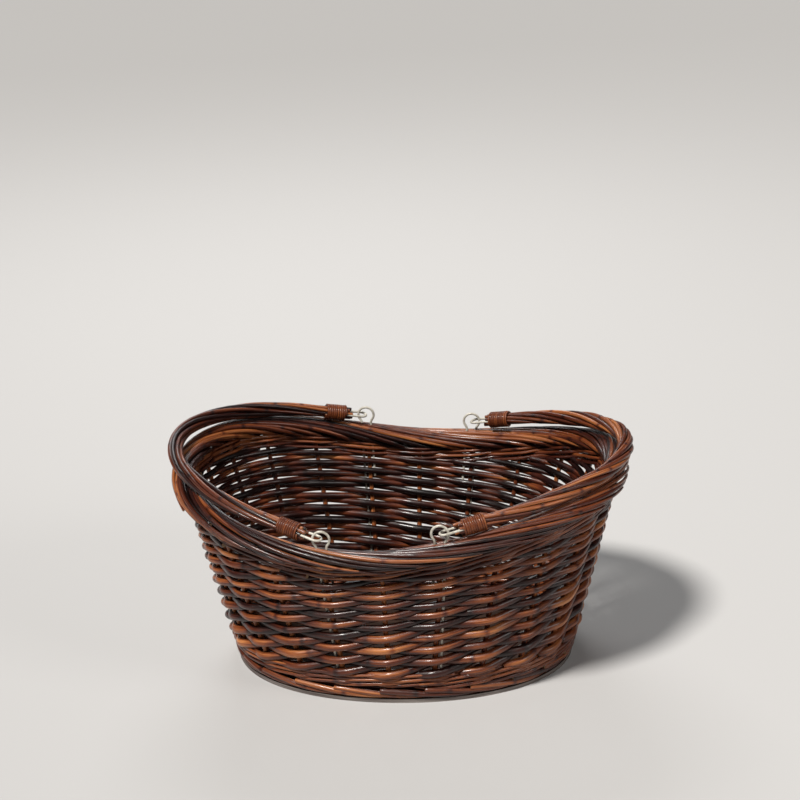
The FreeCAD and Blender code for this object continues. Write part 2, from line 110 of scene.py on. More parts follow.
class Rods:
    """Collects swept rods into one mesh with the attributes the materials read."""

    def __init__(self):
        self.v, self.f, self.m = [], [], []
        self.co, self.tint, self.shade, self.count = [], [], [], 0

    def add(self, path, radius, rng, sides=10, tone=0.5, caps=(True, True), knots=True, ref=None,
            flat=1.0, bevel=0.35, wobble=0.03, turn=0.0, u0=0.0, shade=1.0):
        p = np.asarray(path, float)
        n = len(p)
        r = np.broadcast_to(np.asarray(radius, float), (n,)).copy()
        seg = np.linalg.norm(np.diff(p, axis=0), axis=1)
        u = np.concatenate([[0], np.cumsum(seg)])
        length = u[-1]
        knot = np.zeros(n)
        # painted shade along the rod (1 out in the open, lower where it runs in behind or inside), which the material
        # uses to darken the colour
        deep = np.broadcast_to(np.asarray(shade, float), (n,))
        if knots:
            at = rng.uniform(15, 60)
            while at < length:
                knot = np.maximum(knot, np.exp(-((u - at) / 1.9) ** 2))
                at += rng.uniform(38, 95)
            r = r * (1 + wobble * smooth_noise(rng, u, 42.0) + 0.075 * knot)
        t = np.gradient(p, axis=0)
        t /= np.linalg.norm(t, axis=1)[:, None]
        # parallel frames along the path
        a = np.array([0.0, 0.0, 1.0]) if ref is None else np.asarray(ref, float)
        if abs(a @ t[0]) > 0.95:
            a = np.array([1.0, 0.0, 0.0])
        e1 = np.zeros((n, 3))
        x = a - (a @ t[0]) * t[0]
        e1[0] = x / np.linalg.norm(x)
        for i in range(1, n):
            x = e1[i - 1] - (e1[i - 1] @ t[i]) * t[i]
            e1[i] = x / np.linalg.norm(x)
        e2 = np.cross(t, e1)
        th = np.linspace(0, 2 * math.pi, sides, endpoint=False) + turn
        c, s = np.cos(th), np.sin(th)
        ident = rng.uniform(0, 1)
        rows_p, rows_r, rows_t, rows_u, rows_e1, rows_e2, rows_k, rows_i = [], [], [], [], [], [], [], []

        def ring(pt, rr, uu, a1, a2, kk, ii):
            rows_p.append(pt); rows_r.append(rr); rows_u.append(uu)
            rows_e1.append(a1); rows_e2.append(a2); rows_k.append(kk); rows_i.append(ii)
        bev0 = min(bevel, 0.4 * seg[0]) if n > 1 else 0
        bev1 = min(bevel, 0.4 * seg[-1]) if n > 1 else 0
        if caps[0]:
            ring(p[0], r[0] - bev0, 0, e1[0], e2[0], knot[0], 0)
            ring(p[0] + t[0] * bev0, r[0], bev0, e1[0], e2[0], knot[0], 0)
            start = 1
        else:
            start = 0
        stop = n - 1 if caps[1] else n
        for i in range(start, stop):
            ring(p[i], r[i], u[i], e1[i], e2[i], knot[i], i)
        if caps[1]:
            ring(p[-1] - t[-1] * bev1, r[-1], u[-1] - bev1, e1[-1], e2[-1], knot[-1], n - 1)
            ring(p[-1], r[-1] - bev1, u[-1], e1[-1], e2[-1], knot[-1], n - 1)
        P = np.array(rows_p); R = np.array(rows_r); U = np.array(rows_u)
        E1 = np.array(rows_e1); E2 = np.array(rows_e2); K = np.array(rows_k)
        m = len(P)
        V = (P[:, None, :] + R[:, None, None] * (c[None, :, None] * E1[:, None, :] + flat * s[None, :, None] * E2[:, None, :]))
        base = self.count
        self.v.append(V.reshape(-1, 3))
        co = np.stack([np.repeat((U + u0)[:, None] * MM, sides, 1), np.repeat(c[None], m, 0), np.repeat(s[None], m, 0)], -1)
        self.co.append(co.reshape(-1, 3))
        tn = np.stack([np.full((m, sides), ident), np.full((m, sides), tone), np.repeat(K[:, None], sides, 1)], -1)
        self.tint.append(tn.reshape(-1, 3))
        self.shade.append(np.repeat(deep[np.array(rows_i)][:, None], sides, 1).reshape(-1))
        i = np.arange(m - 1)[:, None] * sides
        j = np.arange(sides)[None, :]
        j2 = (j + 1) % sides
        quads = np.stack([base + i + j, base + i + j2, base + i + sides + j2, base + i + sides + j], -1).reshape(-1, 4)
        self.f.append(quads)
        self.m.append(np.zeros(len(quads), int))
        self.count += m * sides
        for end in (0, 1):
            if not caps[end]:
                continue
            k = 0 if end == 0 else m - 1
            ringv = V[k]
            centre = ringv.mean(0) + (t[0] * 0.12 if end == 0 else -t[-1] * 0.12)
            # own copies of the ring, so that the cut stays a sharp edge
            self.v.append(np.vstack([ringv, centre[None]]))
            q = np.stack([np.full(sides + 1, U[k] * MM), np.append(c, 0), np.append(s, 0)], -1)
            self.co.append(q)
            self.tint.append(np.tile([ident, tone, 0.0], (sides + 1, 1)))
            self.shade.append(np.full(sides + 1, deep[0 if end == 0 else -1]))
            b = self.count
            tri = []
            for jj in range(sides):
                a_, b_ = b + jj, b + (jj + 1) % sides
                tri.append((b_, a_, b + sides) if end == 0 else (a_, b_, b + sides))
            tri = np.array(tri)
            self.f.append(tri)
            self.m.append(np.ones(len(tri), int))
            self.count += sides + 1

    def build(self, name, mats, body, replaced):
        v = np.vstack(self.v) * MM
        me = bpy.data.meshes.new(name)
        me.vertices.add(len(v))
        me.vertices.foreach_set("co", v.astype(np.float32).ravel())
        loops = np.concatenate([f.ravel() for f in self.f]).astype(np.int32)
        sizes = np.concatenate([np.full(len(f), f.shape[1]) for f in self.f]).astype(np.int32)
        starts = np.concatenate([[0], np.cumsum(sizes)[:-1]]).astype(np.int32)
        me.loops.add(len(loops))
        me.loops.foreach_set("vertex_index", loops)
        me.polygons.add(len(sizes))
        me.polygons.foreach_set("loop_start", starts)
        me.polygons.foreach_set("material_index", np.concatenate(self.m).astype(np.int32))
        me.update(calc_edges=True)
        me.validate()
        me.shade_smooth()
        for label, data in (("rodco", self.co), ("rodtint", self.tint)):
            attr = me.attributes.new(label, "FLOAT_VECTOR", "POINT")
            attr.data.foreach_set("vector", np.vstack(data).astype(np.float32).ravel())
        attr = me.attributes.new("rodshade", "FLOAT", "POINT")
        attr.data.foreach_set("value", np.concatenate(self.shade).astype(np.float32))
        for mat in mats:
            me.materials.append(mat)
        ob = bpy.data.objects.new(name, me)
        SCENE.collection.objects.link(ob)
        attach(ob, body)
        if replaced:
            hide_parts(*replaced)
        return ob


# ------------------------------------------------------------------ materials
def new_material(name):
    mat = bpy.data.materials.new(name)
    mat.use_nodes = True
    nt = mat.node_tree
    for nd in list(nt.nodes):
        nt.nodes.remove(nd)
    out = nt.nodes.new("ShaderNodeOutputMaterial")
    bsdf = nt.nodes.new("ShaderNodeBsdfPrincipled")
    nt.links.new(bsdf.outputs["BSDF"], out.inputs["Surface"])
    return mat, nt, bsdf


def node(nt, kind, **props):
    nd = nt.nodes.new(kind)
    for k, v in props.items():
        setattr(nd, k, v)
    return nd


def math_node(nt, op, a, b=None, clamp=False):
    nd = node(nt, "ShaderNodeMath", operation=op, use_clamp=clamp)
    for i, x in enumerate((a, b)):
        if x is None:
            continue
        if isinstance(x, (int, float)):
            nd.inputs[i].default_value = x
        else:
            nt.links.new(x, nd.inputs[i])
    return nd.outputs[0]


def ramp(nt, fac, stops):
    nd = node(nt, "ShaderNodeValToRGB")
    cr = nd.color_ramp
    while len(cr.elements) > 1:
        cr.elements.remove(cr.elements[-1])
    cr.elements[0].position = stops[0][0]
    cr.elements[0].color = (*stops[0][1], 1)
    for pos, col in stops[1:]:
        e = cr.elements.new(pos)
        e.color = (*col, 1)
    nt.links.new(fac, nd.inputs["Fac"])
    return nd.outputs["Color"]


def rod_vector(nt, along, around, ident_shift=37.0):
    """Coordinates that run with a rod: stretched along it, different on each rod."""
    co = node(nt, "ShaderNodeAttribute", attribute_type="GEOMETRY", attribute_name="rodco")
    ti = node(nt, "ShaderNodeAttribute", attribute_type="GEOMETRY", attribute_name="rodtint")
    sc = node(nt, "ShaderNodeSeparateXYZ")
    nt.links.new(co.outputs["Vector"], sc.inputs[0])
    st = node(nt, "ShaderNodeSeparateXYZ")
    nt.links.new(ti.outputs["Vector"], st.inputs[0])
    u = math_node(nt, "MULTIPLY", sc.outputs[0], along)
    u = math_node(nt, "ADD", u, math_node(nt, "MULTIPLY", st.outputs[0], ident_shift))
    cv = node(nt, "ShaderNodeCombineXYZ")
    nt.links.new(u, cv.inputs[0])
    nt.links.new(math_node(nt, "MULTIPLY", sc.outputs[1], around), cv.inputs[1])
    nt.links.new(math_node(nt, "MULTIPLY", sc.outputs[2], around), cv.inputs[2])
    return cv.outputs[0], st


def noise(nt, vec, scale, detail=2.0, rough=0.5, distort=0.0):
    nd = node(nt, "ShaderNodeTexNoise")
    nd.inputs["Scale"].default_value = scale
    nd.inputs["Detail"].default_value = detail
    nd.inputs["Roughness"].default_value = rough
    nd.inputs["Distortion"].default_value = distort
    nt.links.new(vec, nd.inputs["Vector"])
    return nd.outputs[0]


STAIN = [
    (0.00, (0.0032, 0.0011, 0.0010)),
    (0.26, (0.0100, 0.0022, 0.0018)),
    (0.46, (0.0310, 0.0060, 0.0032)),
    (0.62, (0.0860, 0.0185, 0.0066)),
    (0.80, (0.2080, 0.0580, 0.0165)),
    (1.00, (0.4200, 0.1600, 0.0520)),
]


def willow_material(name, bias=0.0, stops=STAIN, rough=0.34):
    mat, nt, bsdf = new_material(name)
    long_vec, st = rod_vector(nt, 9.0, 0.9)
    fibre_vec, _ = rod_vector(nt, 16.0, 7.0)
    patch = noise(nt, long_vec, 1.6, 3.0, 0.6)
    fibre = noise(nt, fibre_vec, 2.2, 4.0, 0.62)
    fleck_vec, _ = rod_vector(nt, 260.0, 3.0)
    fleck = noise(nt, fleck_vec, 1.0, 2.0, 0.5)
    tone = st.outputs[1]
    knot = st.outputs[2]
    f = math_node(nt, "MULTIPLY", tone, 0.62)
    f = math_node(nt, "ADD", f, math_node(nt, "MULTIPLY", math_node(nt, "SUBTRACT", patch, 0.5), 0.95))
    f = math_node(nt, "ADD", f, math_node(nt, "MULTIPLY", math_node(nt, "SUBTRACT", fibre, 0.5), 0.42))
    f = math_node(nt, "ADD", f, math_node(nt, "MULTIPLY", math_node(nt, "SUBTRACT", fleck, 0.5), 0.14))
    f = math_node(nt, "SUBTRACT", f, math_node(nt, "MULTIPLY", knot, 0.28))
    # painted shade: the colour is made darker where a rod runs in behind its neighbours and on the inside of the
    # basket, standing in for the shade that falls there
    sh = node(nt, "ShaderNodeAttribute", attribute_type="GEOMETRY", attribute_name="rodshade")
    f = math_node(nt, "ADD", f, math_node(nt, "MULTIPLY", sh.outputs["Fac"], 0.42))
    f = math_node(nt, "ADD", f, bias - 0.10, clamp=True)
    nt.links.new(ramp(nt, f, stops), bsdf.inputs["Base Color"])
    rgh = math_node(nt, "MULTIPLY", math_node(nt, "SUBTRACT", fibre, 0.5), 0.30)
    rgh = math_node(nt, "ADD", rgh, math_node(nt, "MULTIPLY", patch, 0.16))
    rgh = math_node(nt, "ADD", rgh, rough - 0.06, clamp=True)
    nt.links.new(rgh, bsdf.inputs["Roughness"])
    bsdf.inputs["Specular IOR Level"].default_value = 0.28
    bsdf.inputs["Coat Weight"].default_value = 0.30
    bsdf.inputs["Coat Roughness"].default_value = 0.15
    height = math_node(nt, "ADD", math_node(nt, "MULTIPLY", fibre, 0.7), math_node(nt, "MULTIPLY", fleck, 0.3))
    bump = node(nt, "ShaderNodeBump")
    bump.inputs["Strength"].default_value = 0.55
    bump.inputs["Distance"].default_value = 0.0006
    nt.links.new(height, bump.inputs["Height"])
    nt.links.new(bump.outputs[0], bsdf.inputs["Normal"])
    return mat


def cut_material():
    """The pale end grain of a cut rod, with a darker pith and edge."""
    mat, nt, bsdf = new_material("cut_willow")
    co = node(nt, "ShaderNodeAttribute", attribute_type="GEOMETRY", attribute_name="rodco")
    sc = node(nt, "ShaderNodeSeparateXYZ")
    nt.links.new(co.outputs["Vector"], sc.inputs[0])
    d = math_node(nt, "SQRT", math_node(nt, "ADD", math_node(nt, "POWER", sc.outputs[1], 2.0), math_node(nt, "POWER", sc.outputs[2], 2.0)))
    geo = node(nt, "ShaderNodeNewGeometry")
    sp = noise(nt, geo.outputs["Position"], 900.0, 3.0)
    f = math_node(nt, "ADD", d, math_node(nt, "MULTIPLY", math_node(nt, "SUBTRACT", sp, 0.5), 0.45), clamp=True)
    col = ramp(nt, f, [(0.0, (0.10, 0.055, 0.03)), (0.16, (0.30, 0.19, 0.11)), (0.72, (0.36, 0.24, 0.14)), (1.0, (0.09, 0.035, 0.018))])
    nt.links.new(col, bsdf.inputs["Base Color"])
    bsdf.inputs["Roughness"].default_value = 0.75
    bump = node(nt, "ShaderNodeBump")
    bump.inputs["Strength"].default_value = 0.3
    bump.inputs["Distance"].default_value = 0.0004
    nt.links.new(sp, bump.inputs["Height"])
    nt.links.new(bump.outputs[0], bsdf.inputs["Normal"])
    return mat


def wire_material():
    mat, nt, bsdf = new_material("galvanised_wire")
    geo = node(nt, "ShaderNodeNewGeometry")
    a = noise(nt, geo.outputs["Position"], 420.0, 4.0, 0.6)
    b = noise(nt, geo.outputs["Position"], 90.0, 2.0, 0.5)
    col = ramp(nt, math_node(nt, "ADD", math_node(nt, "MULTIPLY", a, 0.5), math_node(nt, "MULTIPLY", b, 0.5)),
               [(0.30, (0.20, 0.18, 0.14)), (0.46, (0.40, 0.375, 0.32)), (0.60, (0.56, 0.535, 0.47)), (0.8, (0.68, 0.66, 0.60))])
    nt.links.new(col, bsdf.inputs["Base Color"])
    bsdf.inputs["Metallic"].default_value = 0.1
    nt.links.new(math_node(nt, "ADD", math_node(nt, "MULTIPLY", a, 0.35), 0.26), bsdf.inputs["Roughness"])
    bump = node(nt, "ShaderNodeBump")
    bump.inputs["Strength"].default_value = 0.25
    bump.inputs["Distance"].default_value = 0.0002
    nt.links.new(a, bump.inputs["Height"])
    nt.links.new(bump.outputs[0], bsdf.inputs["Normal"])
    return mat


def board_material():
    """Thin plywood: a stained face with long grain, and pale and dark plies on its edge."""
    mat, nt, bsdf = new_material("base_plywood")
    geo = node(nt, "ShaderNodeNewGeometry")
    mp = node(nt, "ShaderNodeMapping")
    mp.inputs["Scale"].default_value = (9.0, 150.0, 40.0)
    nt.links.new(geo.outputs["Position"], mp.inputs["Vector"])
    g = noise(nt, mp.outputs[0], 1.0, 6.0, 0.6, 0.6)
    mp2 = node(nt, "ShaderNodeMapping")
    mp2.inputs["Scale"].default_value = (2.0, 14.0, 5.0)
    nt.links.new(geo.outputs["Position"], mp2.inputs["Vector"])
    g2 = noise(nt, mp2.outputs[0], 1.0, 3.0, 0.5, 1.2)
    f = math_node(nt, "ADD", math_node(nt, "MULTIPLY", g, 0.6), math_node(nt, "MULTIPLY", g2, 0.4))
    face = ramp(nt, f, [(0.30, (0.010, 0.006, 0.005)), (0.5, (0.026, 0.014, 0.010)), (0.70, (0.056, 0.031, 0.022))])
    sp = node(nt, "ShaderNodeSeparateXYZ")
    nt.links.new(geo.outputs["Position"], sp.inputs[0])
    ply = node(nt, "ShaderNodeTexNoise")
    ply.inputs["Scale"].default_value = 1.0
    ply.inputs["Detail"].default_value = 2.0
    mp3 = node(nt, "ShaderNodeMapping")
    mp3.inputs["Scale"].default_value = (24.0, 24.0, 900.0)
    nt.links.new(geo.outputs["Position"], mp3.inputs["Vector"])
    nt.links.new(mp3.outputs[0], ply.inputs["Vector"])
    edge = ramp(nt, ply.outputs[0], [(0.35, (0.075, 0.060, 0.056)), (0.5, (0.135, 0.115, 0.105)), (0.66, (0.215, 0.190, 0.175))])
    sn = node(nt, "ShaderNodeSeparateXYZ")
    nt.links.new(geo.outputs["Normal"], sn.inputs[0])
    flatness = math_node(nt, "GREATER_THAN", math_node(nt, "ABSOLUTE", sn.outputs[2]), 0.6)
    mix = node(nt, "ShaderNodeMix", data_type="RGBA")
    nt.links.new(flatness, mix.inputs["Factor"])
    nt.links.new(edge, mix.inputs["A"])
    nt.links.new(face, mix.inputs["B"])
    nt.links.new(mix.outputs["Result"], bsdf.inputs["Base Color"])
    nt.links.new(math_node(nt, "ADD", math_node(nt, "MULTIPLY", f, 0.3), 0.48), bsdf.inputs["Roughness"])
    bsdf.inputs["Specular IOR Level"].default_value = 0.25
    bump = node(nt, "ShaderNodeBump")
    bump.inputs["Strength"].default_value = 0.25
    bump.inputs["Distance"].default_value = 0.0005
    nt.links.new(g, bump.inputs["Height"])
    nt.links.new(bump.outputs[0], bsdf.inputs["Normal"])
    return mat


WILLOW = willow_material("stained_willow")
BINDING = willow_material("binding_willow", bias=0.06, rough=0.40)
CUT = cut_material()
WIRE = wire_material()
BOARD = board_material()


def mean_tone(rng, lo=0.1, hi=0.95):
    return float(np.clip(rng.beta(1.0, 1.15), 0, 1) * (hi - lo) + lo)


# ------------------------------------------------------------------ base board
def repaint(name, mat):
    ob = nodes[name]
    ob.data.materials.clear()
    ob.data.materials.append(mat)


repaint("base_board", BOARD)

# ------------------------------------------------------------------ uprights
MIDDLE = -1.6                  # the uprights stand this far inside the wall's middle


def make_stakes():
    rng = np.random.default_rng(11)
    rods = Rods()
    for q in STAKE_Q:
        top = float(rim_height(q)) - 6
        z = np.linspace(1.3, top, 46)
        dq = rng.normal(0, 0.16) + 0.22 * smooth_noise(rng, z, 60.0)
        dq *= np.clip(z / 20.0, 0, 1)
        off = (MIDDLE + 0.5 * smooth_noise(rng, z, 55.0)) * np.clip(z / 18.0, 0, 1)
        r = np.linspace(2.9, 2.3, len(z)) * rng.uniform(0.94, 1.06)
        rods.add(wall(q + dq, z, off), r, rng, sides=10, tone=mean_tone(rng, 0.45, 1.0), caps=(True, True))
    return rods.build("willow_uprights", [WILLOW, CUT], "basket", ["side_stakes"])


make_stakes()


# ------------------------------------------------------------------ side weave
WEAVE_LOW, WEAVE_TOP = UPSET_TOP - 1.5, 22.0


def layer_count(q):
    """More layers fit where the wall is taller, at the two ends."""
    return 17.7 + 7.3 * np.sin(rad(np.asarray(q, float) - RIM_PHASE)) ** 2


def weave_height(q, n):
    """Height of layer n of the side weave."""
    t = n / layer_count(q)
    return WEAVE_LOW + (rim_height(q) - WEAVE_TOP - WEAVE_LOW) * (1.23 * t - 0.23 * t * t)


def layer_gap(q, n):
    t = n / layer_count(q)
    return (rim_height(q) - WEAVE_TOP - WEAVE_LOW) * (1.23 - 0.46 * t) / layer_count(q)


def make_side_weave():
    rng = np.random.default_rng(5)
    rods = Rods()
    for j in range(SPACES):
        w = np.arange(-0.45, 28.0, 1 / 14.0)
        q = START + (j + w) * STEP
        keep = (w + 0.5) <= layer_count(q) + 0.15
        edges = np.flatnonzero(np.diff(np.concatenate([[0], keep.astype(int), [0]])))
        for a, b in zip(edges[::2], edges[1::2]):
            if b - a < 16:
                continue
            wr, qr = w[a:b], q[a:b]
            c = (np.cos(math.pi * wr) + 0.10 * np.cos(3 * math.pi * wr)) / 1.1
            r = 0.5 * layer_gap(qr, wr + 0.5) * rng.uniform(1.0, 1.16) * (1 + 0.09 * (wr + 0.5) / layer_count(qr)) * (1 + 0.05 * smooth_noise(rng, wr, 2.6))
            amp = 0.74 * (r + 2.5) * (1 + 0.06 * smooth_noise(rng, wr, 1.0, 1))
            out = MIDDLE + 0.2 + amp * c
            # the wall leans outwards, so a rod that swings out of it also drops a little
            z = weave_height(qr, wr + 0.5) - np.where(c > 0, 0.13, 0.25) * amp * c + 0.45 * smooth_noise(rng, wr, 1.3) + rng.normal(0, 0.2)
            # painted shade: a stroke is painted darker where it swings in behind the uprights and on the inside of the
            # wall
            rods.add(wall(qr, z, out), r, rng, sides=12, tone=mean_tone(rng, 0.10, 1.0), caps=(True, True), wobble=0.04,
                     shade=np.clip(0.52 + 0.7 * c, -0.30, 1.0))
    return rods.build("willow_side_weave", [WILLOW, CUT], "basket", ["side_weave_lower", "side_weave_middle", "side_weave_upper"])


make_side_weave()


# ------------------------------------------------------------------ waling
def wale(rods, rng, height, rounds, size, lift, amp, mid=MIDDLE):
    """Three-rod wale: each rod passes in front of two uprights and behind one."""
    for i in range(3):
        done = 0
        w_end = SPACES * rounds + 0.4
        starts = [i - 0.45]
        # each working rod is pieced once on the way round
        cuts = sorted(rng.uniform(0.25, 0.8, 1) * w_end) if rounds > 1 else [w_end * rng.uniform(0.4, 0.6)]
        edges = starts + [round(c / 3) * 3 + i + 1.55 for c in cuts] + [w_end + i * 0.9]
        for a, b in zip(edges[:-1], edges[1:]):
            n = max(20, int((b - a + 1.0) * 10))
            w = np.linspace(a - (0.9 if done else 0.0), b, n)
            ph = np.mod(w - i, 3.0)
            key = np.array([0.0, 1.0, 1.5, 2.0, 2.5, 3.0])
            outk = np.array([0.82, 1.0, 0.15, -1.0, -0.1, 0.82])
            upk = np.array([0.0, 0.92, 1.05, 0.75, 0.15, 0.0])
            # smooth periodic shape through the keys
            def shape(vals, x):
                k = np.searchsorted(key, x, side="right") - 1
                k = np.clip(k, 0, len(key) - 2)
                f = (x - key[k]) / (key[k + 1] - key[k])
                f = f * f * (3 - 2 * f)
                return vals[k] * (1 - f) + vals[k + 1] * f
            out = mid + amp * shape(outk, ph) * (1 + 0.06 * smooth_noise(rng, w, 2.0))
            rise = (w - i) / SPACES * lift
            q = START + w * STEP
            z = height(q) + rise + size * 1.75 * shape(upk, ph) + 0.3 * smooth_noise(rng, w, 2.5)
            r = np.linspace(size * 1.08, size * 0.88, n)
            rods.add(wall(q, z, out), r, rng, sides=10, tone=mean_tone(rng, 0.15, 0.85), caps=(True, True), wobble=0.04)
            done += 1


def make_upset():
    rng = np.random.default_rng(21)
    rods = Rods()
    wale(rods, rng, lambda q: 14.6 + 0 * q, 3, 1.8, 5.1, 5.3)
    return rods.build("willow_upset_wale", [WILLOW, CUT], "basket", ["upset_wale"])


def make_top_wale():
    rng = np.random.default_rng(22)
    rods = Rods()
    wale(rods, rng, lambda q: rim_height(q) - 24.0, 1, 1.75, 5.6, 4.4)
    wale(rods, rng, lambda q: rim_height(q) - 18.6, 1, 1.75, 5.2, 4.5)
    wale(rods, rng, lambda q: rim_height(q) - 13.6, 1, 1.8, 3.6, 4.4)
    return rods.build("willow_top_wale", [WILLOW, CUT], "basket", ["top_wale"])


make_upset()
make_top_wale()


# ------------------------------------------------------------------ foot border
def make_foot_border():
    rng = np.random.default_rng(31)
    rods = Rods()
    for k in range(SPACES):
        w = np.linspace(-0.22, 2.35, 34)
        q = START + (k + w) * STEP + rng.normal(0, 0.35)
        keys_w = np.array([-0.22, 0.25, 1.0, 1.6, 2.35])
        out = np.interp(w, keys_w, [3.4, 3.6, 4.0, 2.6, -1.6])
        z = np.interp(w, keys_w, [13.6, 12.2, 8.4, 6.8, 6.4])
        out = np.convolve(np.pad(out, 4, mode="edge"), np.ones(9) / 9, "valid") + rng.normal(0, 0.2)
        z = np.convolve(np.pad(z, 4, mode="edge"), np.ones(9) / 9, "valid") + rng.normal(0, 0.25)
        r = np.linspace(3.0, 2.45, len(w)) * rng.uniform(0.92, 1.06)
        rods.add(wall(q, z, out - 0.6), r, rng, sides=12, tone=mean_tone(rng, 0.2, 0.95), caps=(True, True), bevel=0.4)
        # a second, thinner rod lies under it, behind the upright
        w = np.linspace(-0.4, 2.2, 30)
        q = START + (k + 0.5 + w) * STEP
        out = np.interp(w, [-0.4, 0.5, 1.4, 2.2], [-5.2, -4.8, -4.8, -5.4])
        z = np.interp(w, [-0.4, 0.5, 1.4, 2.2], [14.5, 12.6, 9.0, 7.0])
        rods.add(wall(q, z, out), 2.4, rng, sides=10, tone=mean_tone(rng, 0.1, 0.6), caps=(True, True))
    return rods.build("willow_foot_border", [WILLOW, CUT], "basket", ["foot_border"])


make_foot_border()


# ------------------------------------------------------------------ rolled border
def make_border():
    rng = np.random.default_rng(41)
    rods = Rods()
    span = 6.1
    for k in range(2 * SPACES):
        n = 96
        first = k % 2 == 0
        w = np.linspace(0.0, span, n)
        key_w = np.array([0.0, 0.5, 1.0, 3.0, 5.0, span])
        key_a = np.array([262.0, 208.0, 172.0, 95.0, 8.0, -38.0])
        ang = np.interp(w, key_w, key_a)
        ang = np.convolve(np.pad(ang, 7, mode="edge"), np.ones(15) / 15, "valid")
        ang = ang + 8.0 * smooth_noise(rng, w, 2.4) + rng.normal(0, 5.0)
        r = np.interp(w, [0, 1.5, 4.0, 5.6, span], [2.55, 2.5, 2.05, 1.6, 1.0]) * rng.uniform(0.84, 1.1)
        lift = -0.35 + 0.65 * smooth_noise(rng, w, 1.6)
        out = (12.9 - r + lift) * np.cos(rad(ang))
        up = (11.1 - r + lift) * np.sin(rad(ang))
        # the first part climbs out of the wall, the thin tip pokes out below
        start = np.clip(1 - w / 0.5, 0, 1)
        up = up - 5.0 * start
        out = out + (MIDDLE - out) * start * 0.6
        tip = np.clip((w - (span - 0.75)) / 0.75, 0, 1) ** 1.5
        free = rng.uniform(-2.2, 2.2)
        out = out + free * tip
        up = up - abs(rng.normal(0, 1.0)) * tip
        q = START + (0.5 * k + w) * STEP + (0 if first else rng.normal(0, 0.8))
        rods.add(rim(q, out, up), r, rng, sides=12, tone=mean_tone(rng, -0.12, 0.92), caps=(False, True), wobble=0.035)
    # rods inside the roll, which close the gaps between the outer strands
    for k in range(SPACES):
        n = 60
        w = np.linspace(0.1, 5.4, n)
        ang = np.interp(w, [0.1, 1.4, 3.2, 5.4], [250.0, 165.0, 85.0, -25.0]) + 16
        r = np.linspace(2.9, 2.3, n)
        out = 6.2 * np.cos(rad(ang))
        up = 4.9 * np.sin(rad(ang))
        q = START + (k + 0.5 + w) * STEP
        # painted shade: the rods inside the roll are painted dark for the shade they lie in
        rods.add(rim(q, out, up), r, rng, sides=8, tone=mean_tone(rng, 0.0, 0.4), caps=(True, True), shade=0.2)
    return rods.build("willow_rim_border", [WILLOW, CUT], "basket", ["rim_border"])


make_border()


# ------------------------------------------------------------------ hinge line
def unit(v):
    v = np.asarray(v, float)
    return v / np.linalg.norm(v)


EYE_A = rim(EYE_Q[0], 0, EYE_ABOVE)
EYE_B = rim(EYE_Q[1], 0, EYE_ABOVE)
AXIS = unit(EYE_B - EYE_A)
OUT = unit(np.cross(AXIS, [0, 0, 1.0]))
if OUT[0] > 0:
    OUT = -OUT
UP = np.cross(AXIS, OUT)
MID = (EYE_A + EYE_B) / 2
HALF = np.linalg.norm(EYE_B - EYE_A) / 2
REACH_DIR = OUT * math.cos(rad(TILT)) + UP * math.sin(rad(TILT))
NORMAL = np.cross(AXIS, REACH_DIR)


def half_turn(p):
    return np.asarray(p) * np.array([-1.0, -1.0, 1.0])


# ------------------------------------------------------------------ wire eyes
def make_eye(name, centre, q, turned, seed, node_name):
    rng = np.random.default_rng(seed)
    rods = Rods()
    lean = math.asin(EYE_LEG / EYE_R)
    drop = EYE_R * math.cos(lean)
    foot = wall(q, 0.0, 0.0)
    top = rim(q, 0.0, 0.0)
    down = unit(foot - top)
    pts = []
    p_short = centre - OUT * EYE_LEG - UP * drop
    p_long = centre + OUT * EYE_LEG - UP * drop
    short_len = 60.0
    long_len = (7.0 - p_long[2]) / down[2]
    tl = np.linspace(long_len, 3.0, 60)
    shift = 1.6               # the leg lies beside the upright, behind the strokes that pass in front
    nrm = unit(np.array([rim(q, 1, 0)[0] - rim(q, 0, 0)[0], rim(q, 1, 0)[1] - rim(q, 0, 0)[1], 0]))
    for s in tl:
        ease = np.clip((s - 14) / 30.0, 0, 1)
        pts.append(p_long + down * s + nrm * shift * ease + OUT * 0.7 * ease)
    a = np.linspace(math.pi * 1.5 - lean, -math.pi * 0.5 + lean, 40)
    for t in a:
        bulge = 0.25 * max(0.0, math.sin(t) + 0.6)
        pts.append(centre + OUT * (-(EYE_R + bulge) * math.cos(t)) + UP * ((EYE_R + bulge) * math.sin(t)))
    for s in np.linspace(3.0, short_len, 26):
        pts.append(p_short + down * s)
    pts = np.array(pts)
    # a soft bend where the ring runs into its legs
    k = np.array([1, 2, 3, 2, 1]) / 9.0
    sm = np.stack([np.convolve(np.pad(pts[:, i], 2, mode="edge"), k, "valid") for i in range(3)], -1)
    pts = sm
    if turned:
        pts = half_turn(pts)
    rods.add(pts, 1.25, rng, sides=12, tone=0.5, knots=False, caps=(True, True), bevel=0.2)
    return rods.build(name, [WIRE, WIRE], "basket", [node_name])


make_eye("wire_eye_front_left", EYE_A, EYE_Q[0], False, 51, "hinge_eye_front_left")
make_eye("wire_eye_back_left", EYE_B, EYE_Q[1], False, 52, "hinge_eye_back_left")
make_eye("wire_eye_back_right", EYE_A, EYE_Q[0], True, 53, "hinge_eye_back_right")
make_eye("wire_eye_front_right", EYE_B, EYE_Q[1], True, 54, "hinge_eye_front_right")


